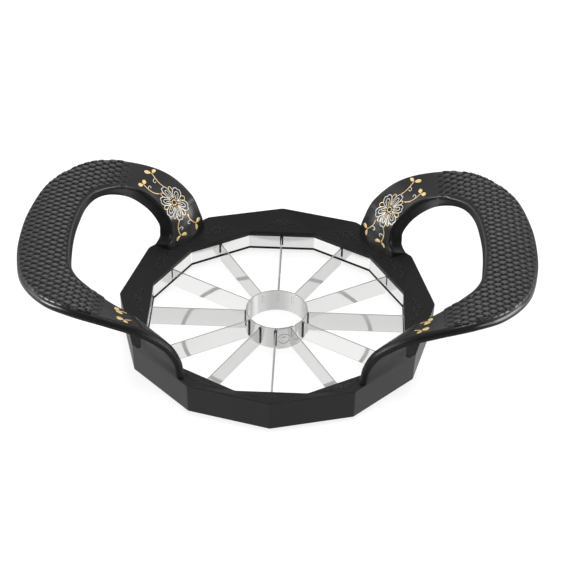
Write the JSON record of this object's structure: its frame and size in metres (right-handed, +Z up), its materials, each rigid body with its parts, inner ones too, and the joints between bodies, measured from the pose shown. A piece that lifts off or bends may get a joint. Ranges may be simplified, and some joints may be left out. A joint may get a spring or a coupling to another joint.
{
  "type": "apple slicer and corer",
  "caption": "Apple slicer and corer: radial steel blades and a core ring held in a low many-sided black moulded frame with two raised ear-shaped loop handles.",
  "frame": {"origin": "on the board under the middle of the core ring, at the lower edge of the steel", "axes": "+X through the right handle, +Y to the back as pictured, +Z up"},
  "size_m": [0.1996, 0.1252, 0.0461],
  "materials": {
    "frame_plastic": "satin moulded black",
    "ring_plastic": "plain moulded black",
    "band_steel": "polished stainless",
    "core_steel": "polished stainless",
    "blade_steel": "mirror-polished stainless",
    "screw_steel": "bright zinc"
  },
  "bodies": {
    "root": {"housing": "frame_plastic", "retaining_ring": "ring_plastic", "steel_band": "band_steel", "core_ring": "core_steel", "blade_01": "blade_steel", "blade_02": "blade_steel", "blade_03": "blade_steel", "blade_04": "blade_steel", "blade_05": "blade_steel", "blade_06": "blade_steel", "blade_07": "blade_steel", "blade_08": "blade_steel", "blade_09": "blade_steel", "blade_10": "blade_steel", "blade_11": "blade_steel", "blade_12": "blade_steel", "ring_screw_1": "screw_steel", "ring_screw_2": "screw_steel", "ring_screw_3": "screw_steel", "ring_screw_4": "screw_steel", "ring_screw_5": "screw_steel", "ring_screw_6": "screw_steel"}
  },
  "joints": []
}
